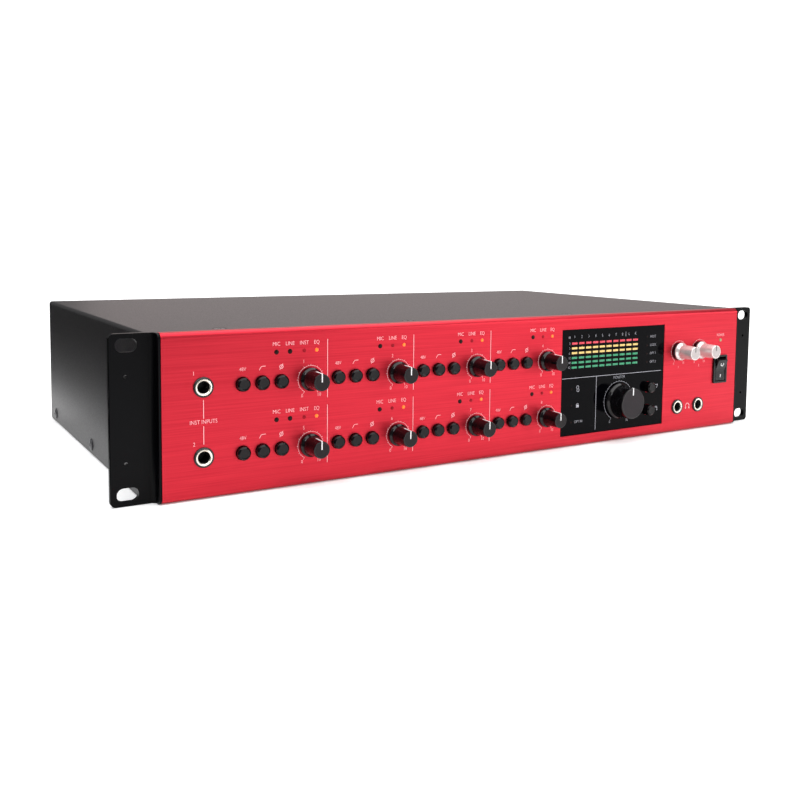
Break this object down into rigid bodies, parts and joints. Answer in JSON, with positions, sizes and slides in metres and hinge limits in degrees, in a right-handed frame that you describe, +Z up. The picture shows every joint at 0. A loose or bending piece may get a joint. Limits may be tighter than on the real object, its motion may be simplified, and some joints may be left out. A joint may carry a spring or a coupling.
{
  "type": "audio interface",
  "caption": "Rack-mount audio interface with red fascia, slotted ears, gain knobs, push buttons, level-meter window, phones sockets, power rocker and rear sockets.",
  "frame": {"origin": "middle of the underside's width, in the plane of the ears' back faces, which meet the rack rails", "axes": "+X to the right seen from the front, +Y back into the rack, +Z up"},
  "size_m": [0.4826, 0.2944, 0.088],
  "materials": {
    "fascia_red": "horizontally brushed red anodising",
    "display_gloss": "gloss",
    "black_paint": "fine satin powder coat",
    "button_black": "satin",
    "knob_black": "satin",
    "knob_silver": "satin turned",
    "switch_black": "semi-gloss",
    "jack_black": "satin with a bright ring",
    "board_green": "solder mask",
    "ribbon_grey": "matt",
    "loom_black": "matt",
    "socket_black": "satin"
  },
  "bodies": {
    "chassis": {"fascia": "fascia_red", "display_window": "display_gloss", "left_ear": "black_paint", "right_ear": "black_paint", "top_cover": "black_paint", "chassis_tray": "black_paint", "control_board": "board_green", "main_board": "board_green", "power_supply": "board_green", "ribbon_cable": "ribbon_grey", "mains_loom": "loom_black", "combo_socket_board": "socket_black", "line_output_board": "socket_black", "digital_io_board": "socket_black", "mains_inlet": "socket_black", "switch_housing": "switch_black", "instrument_jack_1": "jack_black", "instrument_jack_2": "jack_black", "phones_jack_1": "jack_black", "phones_jack_2": "jack_black"},
    "phantom_button_1": {"phantom_button_1": "button_black"},
    "filter_button_1": {"filter_button_1": "button_black"},
    "phase_button_1": {"phase_button_1": "button_black"},
    "gain_knob_1": {"gain_knob_1": "knob_black"},
    "phantom_button_2": {"phantom_button_2": "button_black"},
    "filter_button_2": {"filter_button_2": "button_black"},
    "phase_button_2": {"phase_button_2": "button_black"},
    "gain_knob_2": {"gain_knob_2": "knob_black"},
    "phantom_button_3": {"phantom_button_3": "button_black"},
    "filter_button_3": {"filter_button_3": "button_black"},
    "phase_button_3": {"phase_button_3": "button_black"},
    "gain_knob_3": {"gain_knob_3": "knob_black"},
    "phantom_button_4": {"phantom_button_4": "button_black"},
    "filter_button_4": {"filter_button_4": "button_black"},
    "phase_button_4": {"phase_button_4": "button_black"},
    "gain_knob_4": {"gain_knob_4": "knob_black"},
    "phantom_button_5": {"phantom_button_5": "button_black"},
    "filter_button_5": {"filter_button_5": "button_black"},
    "phase_button_5": {"phase_button_5": "button_black"},
    "gain_knob_5": {"gain_knob_5": "knob_black"},
    "phantom_button_6": {"phantom_button_6": "button_black"},
    "filter_button_6": {"filter_button_6": "button_black"},
    "phase_button_6": {"phase_button_6": "button_black"},
    "gain_knob_6": {"gain_knob_6": "knob_black"},
    "phantom_button_7": {"phantom_button_7": "button_black"},
    "filter_button_7": {"filter_button_7": "button_black"},
    "phase_button_7": {"phase_button_7": "button_black"},
    "gain_knob_7": {"gain_knob_7": "knob_black"},
    "phantom_button_8": {"phantom_button_8": "button_black"},
    "filter_button_8": {"filter_button_8": "button_black"},
    "phase_button_8": {"phase_button_8": "button_black"},
    "gain_knob_8": {"gain_knob_8": "knob_black"},
    "dim_button": {"dim_button": "button_black"},
    "mute_button": {"mute_button": "button_black"},
    "monitor_knob": {"monitor_knob": "knob_black"},
    "phones_knob_1": {"phones_knob_1": "knob_silver"},
    "phones_knob_2": {"phones_knob_2": "knob_silver"},
    "power_rocker": {"power_rocker": "switch_black"}
  },
  "joints": [
    {"name": "phantom_button_1_press", "type": "slide", "parent": "chassis", "child": "phantom_button_1", "axis": [0, 1, 0], "range_m": [0, 0.001], "stiffness_N_per_m": 800, "springref_m": -0.0005},
    {"name": "filter_button_1_press", "type": "slide", "parent": "chassis", "child": "filter_button_1", "axis": [0, 1, 0], "range_m": [0, 0.001], "stiffness_N_per_m": 800, "springref_m": -0.0005},
    {"name": "phase_button_1_press", "type": "slide", "parent": "chassis", "child": "phase_button_1", "axis": [0, 1, 0], "range_m": [0, 0.001], "stiffness_N_per_m": 800, "springref_m": -0.0005},
    {"name": "gain_knob_1_turn", "type": "hinge", "parent": "chassis", "child": "gain_knob_1", "pos_m": [-0.1349, -0.01, 0.0591], "axis": [0, 1, 0], "range_deg": [-150, 150]},
    {"name": "phantom_button_2_press", "type": "slide", "parent": "chassis", "child": "phantom_button_2", "axis": [0, 1, 0], "range_m": [0, 0.001], "stiffness_N_per_m": 800, "springref_m": -0.0005},
    {"name": "filter_button_2_press", "type": "slide", "parent": "chassis", "child": "filter_button_2", "axis": [0, 1, 0], "range_m": [0, 0.001], "stiffness_N_per_m": 800, "springref_m": -0.0005},
    {"name": "phase_button_2_press", "type": "slide", "parent": "chassis", "child": "phase_button_2", "axis": [0, 1, 0], "range_m": [0, 0.001], "stiffness_N_per_m": 800, "springref_m": -0.0005},
    {"name": "gain_knob_2_turn", "type": "hinge", "parent": "chassis", "child": "gain_knob_2", "pos_m": [-0.0788, -0.01, 0.0591], "axis": [0, 1, 0], "range_deg": [-150, 150]},
    {"name": "phantom_button_3_press", "type": "slide", "parent": "chassis", "child": "phantom_button_3", "axis": [0, 1, 0], "range_m": [0, 0.001], "stiffness_N_per_m": 800, "springref_m": -0.0005},
    {"name": "filter_button_3_press", "type": "slide", "parent": "chassis", "child": "filter_button_3", "axis": [0, 1, 0], "range_m": [0, 0.001], "stiffness_N_per_m": 800, "springref_m": -0.0005},
    {"name": "phase_button_3_press", "type": "slide", "parent": "chassis", "child": "phase_button_3", "axis": [0, 1, 0], "range_m": [0, 0.001], "stiffness_N_per_m": 800, "springref_m": -0.0005},
    {"name": "gain_knob_3_turn", "type": "hinge", "parent": "chassis", "child": "gain_knob_3", "pos_m": [-0.0227, -0.01, 0.0591], "axis": [0, 1, 0], "range_deg": [-150, 150]},
    {"name": "phantom_button_4_press", "type": "slide", "parent": "chassis", "child": "phantom_button_4", "axis": [0, 1, 0], "range_m": [0, 0.001], "stiffness_N_per_m": 800, "springref_m": -0.0005},
    {"name": "filter_button_4_press", "type": "slide", "parent": "chassis", "child": "filter_button_4", "axis": [0, 1, 0], "range_m": [0, 0.001], "stiffness_N_per_m": 800, "springref_m": -0.0005},
    {"name": "phase_button_4_press", "type": "slide", "parent": "chassis", "child": "phase_button_4", "axis": [0, 1, 0], "range_m": [0, 0.001], "stiffness_N_per_m": 800, "springref_m": -0.0005},
    {"name": "gain_knob_4_turn", "type": "hinge", "parent": "chassis", "child": "gain_knob_4", "pos_m": [0.0334, -0.01, 0.0591], "axis": [0, 1, 0], "range_deg": [-150, 150]},
    {"name": "phantom_button_5_press", "type": "slide", "parent": "chassis", "child": "phantom_button_5", "axis": [0, 1, 0], "range_m": [0, 0.001], "stiffness_N_per_m": 800, "springref_m": -0.0005},
    {"name": "filter_button_5_press", "type": "slide", "parent": "chassis", "child": "filter_button_5", "axis": [0, 1, 0], "range_m": [0, 0.001], "stiffness_N_per_m": 800, "springref_m": -0.0005},
    {"name": "phase_button_5_press", "type": "slide", "parent": "chassis", "child": "phase_button_5", "axis": [0, 1, 0], "range_m": [0, 0.001], "stiffness_N_per_m": 800, "springref_m": -0.0005},
    {"name": "gain_knob_5_turn", "type": "hinge", "parent": "chassis", "child": "gain_knob_5", "pos_m": [-0.1349, -0.01, 0.0222], "axis": [0, 1, 0], "range_deg": [-150, 150]},
    {"name": "phantom_button_6_press", "type": "slide", "parent": "chassis", "child": "phantom_button_6", "axis": [0, 1, 0], "range_m": [0, 0.001], "stiffness_N_per_m": 800, "springref_m": -0.0005},
    {"name": "filter_button_6_press", "type": "slide", "parent": "chassis", "child": "filter_button_6", "axis": [0, 1, 0], "range_m": [0, 0.001], "stiffness_N_per_m": 800, "springref_m": -0.0005},
    {"name": "phase_button_6_press", "type": "slide", "parent": "chassis", "child": "phase_button_6", "axis": [0, 1, 0], "range_m": [0, 0.001], "stiffness_N_per_m": 800, "springref_m": -0.0005},
    {"name": "gain_knob_6_turn", "type": "hinge", "parent": "chassis", "child": "gain_knob_6", "pos_m": [-0.0788, -0.01, 0.0222], "axis": [0, 1, 0], "range_deg": [-150, 150]},
    {"name": "phantom_button_7_press", "type": "slide", "parent": "chassis", "child": "phantom_button_7", "axis": [0, 1, 0], "range_m": [0, 0.001], "stiffness_N_per_m": 800, "springref_m": -0.0005},
    {"name": "filter_button_7_press", "type": "slide", "parent": "chassis", "child": "filter_button_7", "axis": [0, 1, 0], "range_m": [0, 0.001], "stiffness_N_per_m": 800, "springref_m": -0.0005},
    {"name": "phase_button_7_press", "type": "slide", "parent": "chassis", "child": "phase_button_7", "axis": [0, 1, 0], "range_m": [0, 0.001], "stiffness_N_per_m": 800, "springref_m": -0.0005},
    {"name": "gain_knob_7_turn", "type": "hinge", "parent": "chassis", "child": "gain_knob_7", "pos_m": [-0.0227, -0.01, 0.0222], "axis": [0, 1, 0], "range_deg": [-150, 150]},
    {"name": "phantom_button_8_press", "type": "slide", "parent": "chassis", "child": "phantom_button_8", "axis": [0, 1, 0], "range_m": [0, 0.001], "stiffness_N_per_m": 800, "springref_m": -0.0005},
    {"name": "filter_button_8_press", "type": "slide", "parent": "chassis", "child": "filter_button_8", "axis": [0, 1, 0], "range_m": [0, 0.001], "stiffness_N_per_m": 800, "springref_m": -0.0005},
    {"name": "phase_button_8_press", "type": "slide", "parent": "chassis", "child": "phase_button_8", "axis": [0, 1, 0], "range_m": [0, 0.001], "stiffness_N_per_m": 800, "springref_m": -0.0005},
    {"name": "gain_knob_8_turn", "type": "hinge", "parent": "chassis", "child": "gain_knob_8", "pos_m": [0.0334, -0.01, 0.0222], "axis": [0, 1, 0], "range_deg": [-150, 150]},
    {"name": "dim_button_press", "type": "slide", "parent": "chassis", "child": "dim_button", "axis": [0, 1, 0], "range_m": [0, 0.001], "stiffness_N_per_m": 800, "springref_m": -0.0005},
    {"name": "mute_button_press", "type": "slide", "parent": "chassis", "child": "mute_button", "axis": [0, 1, 0], "range_m": [0, 0.001], "stiffness_N_per_m": 800, "springref_m": -0.0005},
    {"name": "monitor_knob_turn", "type": "hinge", "parent": "chassis", "child": "monitor_knob", "pos_m": [0.0976, -0.01, 0.0278], "axis": [0, 1, 0], "range_deg": [-150, 150]},
    {"name": "phones_knob_1_turn", "type": "hinge", "parent": "chassis", "child": "phones_knob_1", "pos_m": [0.1555, -0.01, 0.0589], "axis": [0, 1, 0], "range_deg": [-150, 150]},
    {"name": "phones_knob_2_turn", "type": "hinge", "parent": "chassis", "child": "phones_knob_2", "pos_m": [0.177, -0.01, 0.0589], "axis": [0, 1, 0], "range_deg": [-150, 150]},
    {"name": "power_rocker_tilt", "type": "hinge", "parent": "chassis", "child": "power_rocker", "pos_m": [0.19965, -0.0074, 0.0433], "axis": [1, 0, 0], "range_deg": [-20, 0]}
  ]
}
